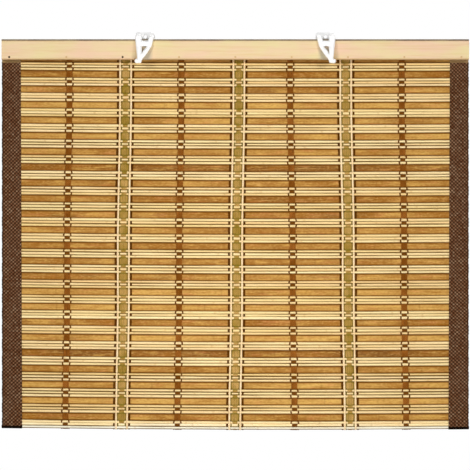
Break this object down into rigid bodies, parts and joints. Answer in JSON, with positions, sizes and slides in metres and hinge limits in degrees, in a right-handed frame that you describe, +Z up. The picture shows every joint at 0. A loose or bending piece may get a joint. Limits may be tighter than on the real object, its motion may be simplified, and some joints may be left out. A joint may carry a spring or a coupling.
{
  "type": "rattan roll-up blind",
  "caption": "Roll-up window blind: a mat of golden flat slats and thin pale sticks with coloured warps and brown taped edges, hung behind a wooden head rail on white clips.",
  "frame": {"origin": "on the wall plane, midway between the two wall screws of the hangers", "axes": "+X to the right along the head rail, +Y to the back (towards the wall), +Z up"},
  "size_m": [0.611, 0.0256, 0.5189],
  "materials": {
    "rail_wood": "pale planed wood, faint grain",
    "reed": "natural split cane, satin",
    "binding_tape": "brown woven tape",
    "brown_yarn": "brown cotton yarn",
    "green_yarn": "olive green cotton yarn",
    "cream_yarn": "cream cotton cord",
    "dark_yarn": "dark brown cotton cord",
    "brad_steel": "dull dark steel",
    "hanger_plastic": "white moulded plastic"
  },
  "bodies": {
    "root": {"head_rail": "rail_wood", "reed_mat": "reed", "left_edge_binding": "binding_tape", "right_edge_binding": "binding_tape", "brown_warp_1": "brown_yarn", "brown_warp_2": "brown_yarn", "brown_warp_3": "brown_yarn", "brown_warp_4": "brown_yarn", "green_warp_1": "green_yarn", "green_warp_2": "green_yarn", "green_warp_3": "green_yarn", "cream_cords_1": "cream_yarn", "cream_cords_2": "cream_yarn", "cream_cords_3": "cream_yarn", "dark_cords_1": "dark_yarn", "dark_cords_2": "dark_yarn", "dark_cords_3": "dark_yarn", "rail_brads": "brad_steel", "left_hanger": "hanger_plastic", "right_hanger": "hanger_plastic"}
  },
  "joints": []
}
